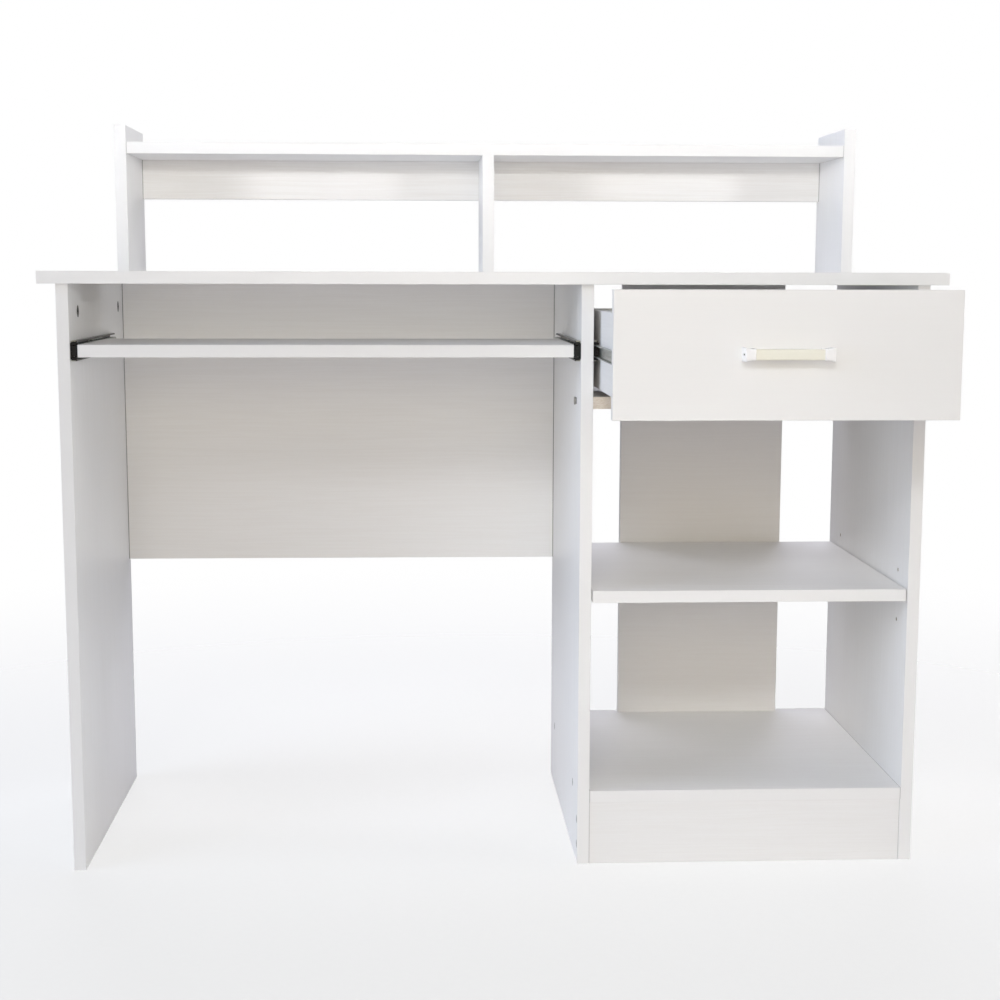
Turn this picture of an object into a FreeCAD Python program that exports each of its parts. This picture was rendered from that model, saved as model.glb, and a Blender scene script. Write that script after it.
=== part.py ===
import FreeCAD, Part
import os

V = FreeCAD.Vector
X = V(1, 0, 0)
Y = V(0, 1, 0)
Z = V(0, 0, 1)

# Driving dimensions, in millimetres
# While the desk is drawn, Y is 0 at the front edge of the worktop and grows towards the wall.

# Carcass
board = 15.0               # every board except the drawer bottom
edge_ease = 0.4            # rounding left by the edge banding
top_width = 1100.0
top_depth = 450.0
desk_height = 743.0        # floor to worktop
side_overhang = 20.0       # worktop beyond each outer panel
front_overhang = 12.0      # worktop beyond the panel fronts
pedestal_opening = 398.0   # clear width between middle and right panels
modesty_height = 398.0
plinth_height = 80.0
plinth_recess = 2.0        # plinth behind the panel fronts
back_board_width = 236.5
back_board_shift = 2.5     # back board to the right of the pedestal's middle
drawer_bay = 137.0         # clear height over the drawer support panel

# Adjustable shelf and its pins
shelf_end_gap = 2.0
shelf_rear_gap = 2.0
pin_height = 336.0         # floor to the middle row of pin holes
pin_pitch = 32.0           # from one row of holes to the next
pin_setback = 50.0         # front column of holes behind the panel fronts
pin_rear_setback = 68.0    # rear column of holes in front of the panels' rear edge
pin_diameter = 5.0
pin_depth = 8.0
pin_hole_depth = 10.0
paddle_length = 9.0
paddle_width = 8.0
paddle_height = 4.0

# Hutch
hutch_inset = 53.0         # worktop beyond each hutch side
hutch_depth = 164.0
hutch_height = 192.0
hutch_upstand = 22.0       # sides above the hutch shelf
hutch_setback = 1.0        # shelf and divider behind the side fronts
rail_height = 54.0

# Keyboard tray
tray_drop = 73.0           # desktop underside to tray top
tray_depth = 225.0
tray_setback = 2.0         # tray behind the panel fronts

# Drawer
drawer_reserve = 50.0      # travel left to the drawer, which is modelled open
front_gap = 2.0            # drawer front to panel, each side
front_top_gap = 4.1
front_height = 145.5
front_rear_gap = 1.0       # closed drawer front to support panel
side_height = 96.5
side_lift = 9.0            # drawer sides above the support panel
drawer_rear_gap = 58.0     # closed drawer to the back board
drawer_slide_rise = 47.0   # slide centre line above the lower edge of the sides
bottom_thickness = 3.0
bottom_rise = 10.0         # groove above the lower edge of the sides
groove_depth = 6.0
groove_play = 0.15

# Handle
handle_length = 101.0
handle_reach = 24.0
handle_rise = 1.6          # handle above the middle of the drawer front
handle_shift = -2.0        # handle to the right of the pedestal's middle
post_width = 12.0
post_height = 15.5
post_ease = 2.0
strip_height = 12.2
strip_thickness = 6.0
strip_ease = 1.5
strip_setback = 2.0        # strip behind the post fronts
strip_tenon = 3.0          # strip let into each post
handle_screw_diameter = 4.0
handle_screw_grip = 12.0   # screw length inside the post
handle_head_diameter = 8.0
handle_head_height = 2.2

# Ball-bearing slides, of one section for tray and drawer
tray_slide_length = 300.0
slide_rear_gap = 56.0      # drawer slides to the back board
slide_overlap = 100.0      # length of a slide still in its rail at full travel
slide_gap = 9.0            # panel to tray or drawer side
steel = 1.0                # sheet thickness
rail_clearance = 1.6       # open edge of the rail to the tray or drawer
rail_lip = 1.0             # lip turned in along the open edge
runner_height = 15.0
runner_stand_off = 3.2     # runner's flanges from the panel
runner_setback = 12.0      # runner end behind the nose of its guide
ball_diameter = 3.9
ball_count = 6             # balls in each row
ball_play = 0.05
cage_strip = 0.6
cage_stand_off = 1.7       # cage from the panel
cage_end_gap = 2.0
guide_depth = 14.0
guide_nose = 6.0           # guide in front of the rail that it plugs
run_clearance = 0.3

# Fittings
fit_clearance = 0.1        # radial, round anything driven into a board
screw_length = 50.0        # one-piece connecting screws
screw_head_diameter = 10.0
screw_head_rim = 1.2
screw_head_gap = 0.7       # radial, round the head in its countersink
screw_sink = 3.0           # depth of the countersunk head
screw_shank_diameter = 7.0
screw_core_diameter = 5.0
cam_diameter = 15.0
cam_setback = 34.0         # cam centre from the joint
cam_web = 3.0              # board left behind a cam
bolt_shank_diameter = 7.0
bolt_thread_diameter = 6.0
bolt_neck_diameter = 5.0
bolt_cover = 4.0           # board left beyond the thread
dowel_diameter = 8.0
dowel_length = 30.0
dowel_cover = 3.0          # board left beyond a dowel
small_screw_length = 12.0  # screws that hold the slides
small_screw_diameter = 3.5
small_head_diameter = 6.0
recess_slot = 1.4          # width of a cross recess
recess_depth = 1.6
recess_share = 0.58        # reach of a cross recess in the radius of its head
crown_share = 0.7          # flat top of a pan head in its radius
neck_lead = 1.0            # start of a bolt's neck before the rim of its cam
dowel_ease = 1.0           # chamfer on a dowel's ends
overshoot = 1.0            # how far a cutting tool starts outside the board

# Places of the fittings
cam_front_setback = 64.0   # front cams behind the panel fronts
cam_rear_setback = 54.0    # rear cams in front of the panels' rear edge
dowel_offset = 32.0        # dowel to the cam beside it
shelf_screw_setback = 71.0
shelf_screw_rear_setback = 66.0
support_screw_setback = 60.0
support_dowel_rear_setback = 78.0
support_screw_stand = 3.0  # head of the middle panel's support screw, not driven home
plinth_screw_low = 23.5
plinth_screw_high = 56.0
modesty_screw_margin = 45.0
modesty_dowel_margin = 120.0
back_board_margin = 40.0
hutch_screw_margin = 35.0
drawer_fitting_margin = 22.0
slide_screw_margin = 30.0
runner_screw_pitch = 96.0  # first to second screw of a runner
runner_screw_rear_margin = 20.0

# Planes worked out from the driving dimensions
under_top = desk_height - board
panel_front = front_overhang
rear = top_depth
back_face = rear - board
left_outer = side_overhang - top_width / 2
left_inner = left_outer + board
right_outer = -left_outer
right_inner = right_outer - board
middle_right = right_inner - pedestal_opening
middle_left = middle_right - board
pedestal_centre = (middle_right + right_inner) / 2
back_board_centre = pedestal_centre + back_board_shift
support_top = under_top - drawer_bay
support_front = panel_front + board + front_rear_gap
shelf_top = plinth_height + board
hutch_front = rear - hutch_depth
hutch_top = desk_height + hutch_height
hutch_outer = top_width / 2 - hutch_inset
hutch_inner = hutch_outer - board
hutch_shelf_under = hutch_top - hutch_upstand - board
tray_top = under_top - tray_drop
tray_front = panel_front + tray_setback
tray_middle = tray_top - board / 2
front_back = panel_front + board
front_top = under_top - front_top_gap
handle_centre = pedestal_centre + handle_shift
handle_height = front_top - front_height / 2 + handle_rise
side_low = support_top + side_lift
side_high = side_low + side_height
drawer_left = middle_right + slide_gap
drawer_right = right_inner - slide_gap
drawer_rear = back_face - drawer_rear_gap
drawer_slide_front = front_back + front_gap
drawer_slide_height = side_low + drawer_slide_rise
drawer_slide_length = back_face - slide_rear_gap - drawer_slide_front
drawer_pull = drawer_slide_length - slide_overlap - drawer_reserve
handle_front = panel_front - handle_reach
origin_y = (rear + handle_front - drawer_pull) / 2

pieces = {}
cuts = {}
pulled = {}


def add(node, solid, forward=0.0):
    """Put a solid in a node that stands this far forward of its closed place."""
    pieces.setdefault(node, []).append(solid)
    pulled[node] = forward


def cut(node, tool):
    """Take a tool's shape out of a node when the node is finished."""
    cuts.setdefault(node, []).append(tool)


def block(x, y, z):
    """A box between three pairs of low and high places."""
    return Part.makeBox(x[1] - x[0], y[1] - y[0], z[1] - z[0], V(x[0], y[0], z[0]))


def banded(x, y, z):
    """A board whose edges are eased by their banding."""
    plain = block(x, y, z)
    return plain.makeFillet(edge_ease, plain.Edges)


def turned(profile):
    """A solid turned about Z from points of radius and height."""
    corners = [V(radius, 0, height) for radius, height in profile]
    return Part.Face(Part.makePolygon(corners + corners[:1])).revolve(V(0, 0, 0), Z, 360)


def placed(solid, point, direction):
    """A copy of a solid drawn along +Z, stood at a point along a direction."""
    copy = solid.copy()
    copy.Placement = FreeCAD.Placement(point, FreeCAD.Rotation(Z, direction))
    return copy


def cross_recess(head_radius):
    """The cross in a screw's head, drawn from the head's face along +Z."""
    reach = head_radius * recess_share
    half_slot = recess_slot / 2
    depth = (-overshoot, recess_depth)
    across = block((-reach, reach), (-half_slot, half_slot), depth)
    return across.fuse(block((-half_slot, half_slot), (-reach, reach), depth))


# Fittings

def connecting_screw(node, through, into, head, axis, forward=0.0):
    """A one-piece screw, flush in one board and threaded into the end of another."""
    head_radius = screw_head_diameter / 2
    shank = screw_shank_diameter / 2
    core = screw_core_diameter / 2
    screw = turned([(0, 0), (head_radius, 0), (head_radius, screw_head_rim),
                    (shank, screw_head_rim + screw_sink), (shank, board),
                    (core, board), (core, screw_length), (0, screw_length)])
    screw = screw.cut(cross_recess(head_radius))
    add(node, placed(screw, head, axis), forward)
    gap = fit_clearance
    end = screw_length + gap
    sink = head_radius + screw_head_gap
    hole = turned([(0, -overshoot), (sink, -overshoot), (sink, screw_head_rim),
                   (shank + gap, screw_head_rim + screw_sink), (shank + gap, board),
                   (core + gap, board), (core + gap, end), (0, end)])
    for target in (through, into):
        cut(target, placed(hole, head, axis))


def cam_fitting(prefix, cam_board, bolt_board, joint, along, face, forward=0.0):
    """A cam in a board's face that draws in a bolt from the board it meets.

    joint is on the meeting plane at mid thickness of the cam's board, along points
    from there into that board, and face is the way out of the side that the cam is let into.
    """
    radius = cam_diameter / 2
    gap = fit_clearance
    centre = joint + along * cam_setback
    mouth = centre + face * (board / 2)
    depth = board - cam_web
    shank = bolt_shank_diameter / 2
    neck = bolt_neck_diameter / 2
    thread = bolt_thread_diameter / 2
    sunk = board - bolt_cover
    neck_start = cam_setback - radius - neck_lead
    head_start = cam_setback - neck
    head_end = cam_setback + neck / 2
    cam = Part.makeCylinder(radius, depth, mouth, face * -1)
    socket = turned([(0, 0), (shank + gap, 0), (shank + gap, head_end + gap), (0, head_end + gap)])
    cam = cam.cut(placed(socket, joint, along))
    cam = cam.cut(placed(cross_recess(radius), mouth, face * -1))
    add(prefix + "cam_locks", cam, forward)
    bolt = turned([(0, -sunk), (thread, -sunk), (thread, 0), (shank, 0), (shank, neck_start),
                   (neck, neck_start), (neck, head_start), (shank, head_start),
                   (shank, head_end), (0, head_end)])
    add(prefix + "cam_bolts", placed(bolt, joint, along), forward)
    cut(cam_board, Part.makeCylinder(radius + gap, depth + overshoot, mouth + face * overshoot, face * -1))
    cut(cam_board, Part.makeCylinder(shank + gap, cam_setback, joint, along))
    cut(bolt_board, Part.makeCylinder(thread + gap, sunk + gap, joint, along * -1))


def dowel(face_board, end_board, joint, along):
    """A beech peg, let into one board's face and into the edge of the other."""
    radius = dowel_diameter / 2
    ease = dowel_ease
    sunk = board - dowel_cover
    end = dowel_length - sunk
    gap = fit_clearance
    peg = turned([(0, -sunk), (radius - ease, -sunk), (radius, ease - sunk),
                  (radius, end - ease), (radius - ease, end), (0, end)])
    add("dowels", placed(peg, joint, along))
    cut(face_board, Part.makeCylinder(radius + gap, sunk + gap, joint, along * -1))
    cut(end_board, Part.makeCylinder(radius + gap, end + gap, joint, along))


def flush_screw(node, targets, seat, axis, forward=0.0):
    """A small countersunk screw, its head level with the seat."""
    head = small_head_diameter / 2
    shank = small_screw_diameter / 2
    gap = fit_clearance
    sink = head - shank
    screw = turned([(0, 0), (head, 0), (shank, sink), (shank, small_screw_length),
                    (0, small_screw_length)])
    screw = screw.cut(cross_recess(head))
    add(node, placed(screw, seat, axis), forward)
    end = small_screw_length + gap
    hole = turned([(0, -overshoot), (head + gap, -overshoot), (head + gap, 0), (shank + gap, sink),
                   (shank + gap, end), (0, end)])
    for target in targets:
        cut(target, placed(hole, seat, axis))


# Carcass boards

def carcass():
    """Desktop, upright panels and the boards fixed between them."""
    half_top = top_width / 2
    upright = (panel_front, rear)
    standing = (0, under_top)
    bay = (middle_right, right_inner)
    half_back = back_board_width / 2
    back_span = (back_board_centre - half_back, back_board_centre + half_back)
    plinth_front = panel_front + plinth_recess
    add("desktop", banded((-half_top, half_top), (0, rear), (under_top, desk_height)))
    add("left_panel", banded((left_outer, left_inner), upright, standing))
    add("middle_panel", banded((middle_left, middle_right), upright, standing))
    add("right_panel", banded((right_inner, right_outer), upright, standing))
    add("modesty_panel", banded((left_inner, middle_left), (back_face, rear),
                                (under_top - modesty_height, under_top)))
    add("drawer_support_panel", banded(bay, (support_front, back_face),
                                       (support_top - board, support_top)))
    add("bottom_shelf", banded(bay, upright, (plinth_height, shelf_top)))
    add("plinth", banded(bay, (plinth_front, plinth_front + board), (0, plinth_height)))
    add("pedestal_back_board", banded(back_span, (back_face, rear), (shelf_top, under_top)))


def adjustable_shelf():
    """The loose shelf on four pins, with a spare row of holes above and below."""
    add("adjustable_shelf", banded((middle_right + shelf_end_gap, right_inner - shelf_end_gap),
                                   (panel_front, back_face - shelf_rear_gap),
                                   (pin_height, pin_height + board)))
    radius = pin_diameter / 2
    gap = fit_clearance
    for panel, face, out in (("middle_panel", middle_right, 1), ("right_panel", right_inner, -1)):
        for along in (panel_front + pin_setback, rear - pin_rear_setback):
            for row in (-1, 0, 1):
                mouth = V(face + out * overshoot, along, pin_height + row * pin_pitch)
                cut(panel, Part.makeCylinder(radius + gap, pin_hole_depth + overshoot, mouth, X * -out))
            seat = V(face, along, pin_height)
            peg = Part.makeCylinder(radius, pin_depth, seat, X * -out)
            ends = sorted((face, face + out * paddle_length))
            paddle = block(ends, (along - paddle_width / 2, along + paddle_width / 2),
                           (pin_height - paddle_height, pin_height))
            add("shelf_pins", paddle.fuse(peg).removeSplitter().Solids[0])


def hutch():
    """The low shelf unit that stands on the rear of the desktop."""
    sides = (hutch_front, rear)
    set_back = hutch_front + hutch_setback
    tall = (desk_height, hutch_top)
    between = (-hutch_inner, hutch_inner)
    half_board = board / 2
    add("hutch_left_side", banded((-hutch_outer, -hutch_inner), sides, tall))
    add("hutch_right_side", banded((hutch_inner, hutch_outer), sides, tall))
    add("hutch_shelf", banded(between, (set_back, rear), (hutch_shelf_under, hutch_shelf_under + board)))
    add("hutch_rail", banded(between, (back_face, rear),
                             (hutch_shelf_under - rail_height, hutch_shelf_under)))
    add("hutch_divider", banded((-half_board, half_board), (set_back, back_face),
                                (desk_height, hutch_shelf_under)))


# Joints of the boards

def carcass_fittings():
    """Cams and dowels under the desktop, connecting screws everywhere else."""
    half = board / 2
    screws = "connecting_screws"
    cam_rows = (panel_front + cam_front_setback, rear - cam_rear_setback)
    for panel, inner, out in (("left_panel", left_inner, 1), ("middle_panel", middle_right, 1),
                              ("right_panel", right_inner, -1)):
        middle = inner - out * half
        for row, inward in zip(cam_rows, (1, -1)):
            cam_fitting("", panel, "desktop", V(middle, row, under_top), Z * -1, X * out)
            dowel("desktop", panel, V(middle, row + inward * dowel_offset, under_top), Z * -1)
    for x in (left_inner + modesty_dowel_margin, middle_left - modesty_dowel_margin):
        dowel("desktop", "modesty_panel", V(x, rear - half, under_top), Z * -1)
    modesty_low = under_top - modesty_height + modesty_screw_margin
    for height in (modesty_low, under_top - modesty_height / 2, under_top - modesty_screw_margin):
        connecting_screw(screws, "left_panel", "modesty_panel", V(left_outer, rear - half, height), X)
        connecting_screw(screws, "middle_panel", "modesty_panel",
                         V(middle_right, rear - half, height), X * -1)
    shelf_rows = (panel_front + shelf_screw_setback, rear - shelf_screw_rear_setback)
    plinth_middle = panel_front + plinth_recess + half
    support_row = panel_front + support_screw_setback
    support_middle = support_top - half
    for panel, outer, inward, stand in (("middle_panel", middle_left, 1, support_screw_stand),
                                        ("right_panel", right_outer, -1, 0.0)):
        axis = X * inward
        for row in shelf_rows:
            connecting_screw(screws, panel, "bottom_shelf", V(outer, row, plinth_height + half), axis)
        for height in (plinth_screw_low, plinth_screw_high):
            connecting_screw(screws, panel, "plinth", V(outer, plinth_middle, height), axis)
        connecting_screw(screws, panel, "drawer_support_panel",
                         V(outer - inward * stand, support_row, support_middle), axis)
        dowel(panel, "drawer_support_panel",
              V(outer + inward * board, rear - support_dowel_rear_setback, support_middle), axis)
    reach = back_board_width / 2 - back_board_margin
    for x in (back_board_centre - reach, back_board_centre + reach):
        connecting_screw(screws, "pedestal_back_board", "drawer_support_panel",
                         V(x, rear, support_middle), Y * -1)
        connecting_screw(screws, "bottom_shelf", "pedestal_back_board", V(x, rear - half, plinth_height), Z)
        dowel("desktop", "pedestal_back_board", V(x, rear - half, under_top), Z * -1)


def hutch_fittings():
    """Screws up through the desktop and in through the hutch sides, pegs under its shelf."""
    half = board / 2
    screws = "hutch_screws"
    shelf_middle = hutch_shelf_under + half
    rail_middle = hutch_shelf_under - rail_height / 2
    rows = (hutch_front + hutch_screw_margin, back_face - hutch_screw_margin)
    for side, sign in (("hutch_left_side", -1), ("hutch_right_side", 1)):
        outer = sign * hutch_outer
        for row in rows:
            connecting_screw(screws, "desktop", side, V(outer - sign * half, row, under_top), Z)
            connecting_screw(screws, side, "hutch_shelf", V(outer, row, shelf_middle), X * -sign)
        connecting_screw(screws, side, "hutch_rail", V(outer, rear - half, rail_middle), X * -sign)
        dowel("hutch_shelf", "hutch_rail", V(sign * hutch_inner / 2, rear - half, hutch_shelf_under), Z * -1)
    for row in rows:
        connecting_screw(screws, "desktop", "hutch_divider", V(0, row, under_top), Z)
        dowel("hutch_shelf", "hutch_divider", V(0, row, hutch_shelf_under), Z * -1)
    connecting_screw(screws, "hutch_rail", "hutch_divider", V(0, rear, rail_middle), Y * -1)


# Slides

def slide(name, side, panel, face, out, height, front, length, carried, carried_end, forward):
    """One ball-bearing slide: rail and guide on a panel, runner on what it carries.

    Sections are drawn as distance from the panel's face and height over the centre line,
    and out is the sign of X in which the slide stands out from the panel.
    """
    half = runner_height / 2
    flange = half - steel
    web = slide_gap - steel
    ball_radius = ball_diameter / 2
    ball_height = half + ball_play + ball_radius
    race = ball_height + ball_radius + ball_play
    rail_half = race + steel
    rail_reach = slide_gap - rail_clearance
    mouth = rail_reach - steel
    cage_web = cage_stand_off + cage_strip
    ball_out = (cage_web + mouth) / 2
    hole_radius = ball_radius + fit_clearance
    cage_reach = ball_out + hole_radius + cage_strip
    cage_start = front + guide_depth + (length - slide_overlap) / 2 + cage_end_gap
    cage_length = slide_overlap - guide_depth - 2 * cage_end_gap
    cage_stop = cage_start + cage_length
    rail_start = front + guide_nose
    runner_start = front + runner_setback
    end = front + length

    def swept(section, start, stop):
        """A section of the slide drawn out along Y."""
        corners = [V(face + out * u, start, height + w) for u, w in section]
        return Part.Face(Part.makePolygon(corners + corners[:1])).extrude(Y * (stop - start))

    def both_ways(upper):
        """A section closed by the mirror image of its upper half."""
        return upper + [(u, -w) for u, w in reversed(upper)]

    rail = both_ways([(0, rail_half), (rail_reach, rail_half), (rail_reach, race - rail_lip),
                      (mouth, race - rail_lip), (mouth, race), (steel, race)])
    rail_node = name + "_rail_" + side
    add(rail_node, swept(rail, rail_start, end))
    runner = both_ways([(slide_gap, half), (runner_stand_off, half), (runner_stand_off, flange),
                        (web, flange)])
    runner_node = name + "_runner_" + side
    add(runner_node, swept(runner, runner_start, end), forward)

    guide_half = race - run_clearance
    guide_stop = front + guide_depth
    nose = both_ways([(0, guide_half), (slide_gap - run_clearance, guide_half)])
    plug = both_ways([(steel + fit_clearance, guide_half), (mouth - run_clearance, guide_half)])
    slot_top = half + run_clearance
    slot_low = flange - run_clearance
    slot_back = runner_stand_off - run_clearance
    passage = both_ways([(slide_gap, slot_top), (slot_back, slot_top), (slot_back, slot_low),
                         (web - run_clearance, slot_low)])
    guide = swept(nose, front, rail_start).fuse(swept(plug, rail_start, guide_stop))
    guide = guide.cut(swept(passage, front - overshoot, guide_stop + overshoot))
    add(name + "_guide_" + side, guide.removeSplitter().Solids[0])

    cage_half = ball_height + cage_strip / 2
    cage = both_ways([(cage_stand_off, cage_half), (cage_reach, cage_half),
                      (cage_reach, cage_half - cage_strip), (cage_web, cage_half - cage_strip)])
    cage_solid = swept(cage, cage_start, cage_stop)
    pitch = cage_length / ball_count
    for index in range(ball_count):
        along = cage_start + pitch * (index + 0.5)
        low = V(face + out * ball_out, along, height - rail_half)
        cage_solid = cage_solid.cut(Part.makeCylinder(hole_radius, 2 * rail_half, low, Z))
        for sign in (-1, 1):
            centre = V(face + out * ball_out, along, height + sign * ball_height)
            add(name + "_balls", Part.makeSphere(ball_radius, centre), forward / 2)
    add(name + "_cage_" + side, cage_solid, forward / 2)
    for along in (rail_start + slide_screw_margin, (rail_start + end) / 2, end - slide_screw_margin):
        flush_screw("rail_screws", (rail_node, panel), V(face + out * steel, along, height), X * -out)
    first = runner_start + slide_screw_margin
    for along in (first, first + runner_screw_pitch, carried_end - runner_screw_rear_margin):
        flush_screw(name + "_runner_screws", (runner_node, carried),
                    V(face + out * web, along, height), X * out, forward)


def slides():
    """A pair of slides under the tray's ends and a pair beside the drawer."""
    tray_end = tray_front + tray_depth
    for side, panel, face, out in (("left", "left_panel", left_inner, 1),
                                   ("right", "middle_panel", middle_left, -1)):
        slide("tray", side, panel, face, out, tray_middle, tray_front, tray_slide_length,
              "keyboard_tray", tray_end, 0.0)
    for side, panel, face, out in (("left", "middle_panel", middle_right, 1),
                                   ("right", "right_panel", right_inner, -1)):
        slide("drawer", side, panel, face, out, drawer_slide_height, drawer_slide_front,
              drawer_slide_length, "drawer_side_" + side, drawer_rear, drawer_pull)


# Tray and drawer

def keyboard_tray():
    """The plain board between the tray runners."""
    add("keyboard_tray", banded((left_inner + slide_gap, middle_left - slide_gap),
                                (tray_front, tray_front + tray_depth), (tray_top - board, tray_top)))


def drawer():
    """Inset front, two sides, a back and a thin bottom in grooves."""
    along = (front_back, drawer_rear)
    side_heights = (side_low, side_high)
    inner = (drawer_left + board, drawer_right - board)
    bottom_low = side_low + bottom_rise
    bottom_high = bottom_low + bottom_thickness
    across = (middle_right + front_gap, right_inner - front_gap)
    add("drawer_front", banded(across, (panel_front, front_back), (front_top - front_height, front_top)),
        drawer_pull)
    add("drawer_side_left", banded((drawer_left, inner[0]), along, side_heights), drawer_pull)
    add("drawer_side_right", banded((inner[1], drawer_right), along, side_heights), drawer_pull)
    add("drawer_back", banded(inner, (drawer_rear - board, drawer_rear),
                              (bottom_high + groove_play, side_high)), drawer_pull)
    reach = groove_depth - groove_play
    add("drawer_bottom", block((inner[0] - reach, inner[1] + reach), (front_back - reach, drawer_rear),
                               (bottom_low, bottom_high)), drawer_pull)
    groove = block((inner[0] - groove_depth, inner[1] + groove_depth),
                   (front_back - groove_depth, drawer_rear + overshoot),
                   (bottom_low - groove_play, bottom_high + groove_play))
    for node in ("drawer_front", "drawer_side_left", "drawer_side_right"):
        cut(node, groove)
    fitting_heights = (bottom_high + drawer_fitting_margin, side_high - drawer_fitting_margin)
    for side, middle, out in (("left", drawer_left + board / 2, 1), ("right", drawer_right - board / 2, -1)):
        node = "drawer_side_" + side
        for height in fitting_heights:
            joint = V(middle, front_back, height)
            cam_fitting("drawer_", node, "drawer_front", joint, Y, X * out, drawer_pull)
            head = V(middle - out * board / 2, drawer_rear - board / 2, height)
            connecting_screw("drawer_screws", node, "drawer_back", head, X * out, drawer_pull)


def handle():
    """A bar handle: two flared posts and a flat strip let in between them."""
    half_length = handle_length / 2
    half_strip = strip_height / 2
    inner = half_length - post_width
    strip_front = handle_front + strip_setback
    reach = inner + strip_tenon

    def strip_block(gap):
        """The strip's own size, or its pocket where a gap is left all round."""
        across = reach + gap
        tall = half_strip + gap
        return block((handle_centre - across, handle_centre + across),
                     (strip_front - gap, strip_front + strip_thickness + gap),
                     (handle_height - tall, handle_height + tall))

    strip = strip_block(0.0)
    long_edges = [edge for edge in strip.Edges if abs(edge.Length - 2 * reach) < 0.001]
    add("handle_strip", strip.makeFillet(strip_ease, long_edges), drawer_pull)
    for side, sign in (("left", -1), ("right", 1)):
        outline = [(inner, half_strip), (half_length, post_height / 2),
                   (half_length, -post_height / 2), (inner, -half_strip)]
        corners = [V(handle_centre + sign * x, panel_front, handle_height + z) for x, z in outline]
        post = Part.Face(Part.makePolygon(corners + corners[:1])).extrude(Y * -handle_reach)
        front_edges = [edge for edge in post.Edges if edge.BoundBox.YMax < handle_front + 0.001]
        node = "handle_post_" + side
        add(node, post.makeFillet(post_ease, front_edges), drawer_pull)
        cut(node, strip_block(fit_clearance))
        screw_x = handle_centre + sign * (half_length - post_width / 2)
        seat = V(screw_x, front_back, handle_height)
        radius = handle_screw_diameter / 2
        head = handle_head_diameter / 2
        end = board + handle_screw_grip
        screw = turned([(0, -handle_head_height), (head * crown_share, -handle_head_height),
                        (head, -handle_head_height / 2), (head, 0), (radius, 0), (radius, end), (0, end)])
        recess = placed(cross_recess(head), seat + Y * handle_head_height, Y * -1)
        add("handle_screws", placed(screw, seat, Y * -1).cut(recess), drawer_pull)
        for target in ("drawer_front", node):
            cut(target, Part.makeCylinder(radius + fit_clearance, end + fit_clearance, seat, Y * -1))


def finish():
    """Drill and groove every node, pull the open drawer out and write the pieces."""
    os.makedirs("parts", exist_ok=True)
    for node, solids in pieces.items():
        tools = cuts.get(node)
        if tools:
            solids = solids[0].cut(tools).Solids
        shape = solids[0] if len(solids) == 1 else Part.makeCompound(solids)
        shape = shape.translated(V(0, -origin_y - pulled[node], 0))
        shape.exportStep("parts/" + node + ".step")
        print(node, len(shape.Solids), "solids", round(shape.Volume / 1000, 2), "cm3", shape.isValid())


carcass()
adjustable_shelf()
hutch()
carcass_fittings()
hutch_fittings()
keyboard_tray()
drawer()
slides()
handle()
finish()
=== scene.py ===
"""White student desk with a hutch, a keyboard tray and a drawer.

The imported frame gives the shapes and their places. This script adds the finishes, the rolled slides,
the handle, the floor, the light and the camera.
"""

import math

import bmesh
import bpy
from mathutils import Matrix, Vector


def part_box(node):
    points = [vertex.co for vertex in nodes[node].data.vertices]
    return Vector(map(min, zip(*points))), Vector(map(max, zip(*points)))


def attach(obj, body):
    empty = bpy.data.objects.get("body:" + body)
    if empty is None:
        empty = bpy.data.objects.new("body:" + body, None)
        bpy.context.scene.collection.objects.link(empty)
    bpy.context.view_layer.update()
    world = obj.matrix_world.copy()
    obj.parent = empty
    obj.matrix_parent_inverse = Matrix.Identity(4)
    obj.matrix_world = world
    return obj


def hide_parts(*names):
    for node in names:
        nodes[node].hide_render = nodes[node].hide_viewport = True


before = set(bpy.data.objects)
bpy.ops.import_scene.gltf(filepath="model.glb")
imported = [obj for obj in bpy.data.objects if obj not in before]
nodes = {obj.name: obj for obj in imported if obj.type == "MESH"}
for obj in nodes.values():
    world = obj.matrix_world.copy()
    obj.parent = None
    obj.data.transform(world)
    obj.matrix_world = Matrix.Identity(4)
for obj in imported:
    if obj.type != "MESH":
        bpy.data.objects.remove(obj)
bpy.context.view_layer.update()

# The frame is in metres, and every size below that is named without a unit is in millimetres
MM = 0.001
X, Y, Z = 0, 1, 2

# Camera, in pixels of the 1000 by 1000 frame, metres and degrees
frame_px = 1000.0
focal_px = 1856.1
centre_row_px = 553.0
camera_place = Vector((-0.10735, -2.37185, 0.7409))
camera_pitch = 8.56
camera_yaw = -2.80
camera_roll = 0.13
sensor_width = 36.0
view_gamma = 1.25          # lifts the recesses as the photograph's tone curve does

# Grain pressed into the melamine
streak_width = 2.2
streak_length = 130.0
sway_length = 170.0
sway_width = 45.0
sway_shift = 3.5
pore_width = 0.9           # real pores are 0.3 wide, drawn wider to show
pore_length = 13.0
pore_shade = 0.5           # shade of a pore as a share of a streak's
pore_dent = 0.6            # depth of a pore as a share of a streak's
grain_shift = (37.0, 11.0, 7.0)   # steps that give each board its own stretch, from its name and place
grain_depth = 0.035
paper_thickness = 0.25
chip_size = 2.2
chip_flatness = 3.0        # how many times a chip is wider than thick
band_line = 0.7            # glue line of the edge band, 0.2 in life, drawn wider to show
joint_shade_width = 1.1           # painted shade where a bare end meets an upright, for the shadow in a crack 0.4 wide in life, drawn wider to show
glue_shade = 0.5           # how far the glue line goes towards its grey
core_roughness = 0.85
face_limit = 0.5           # a surface is a face where its normal leans this much along the sheet's axis

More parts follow.
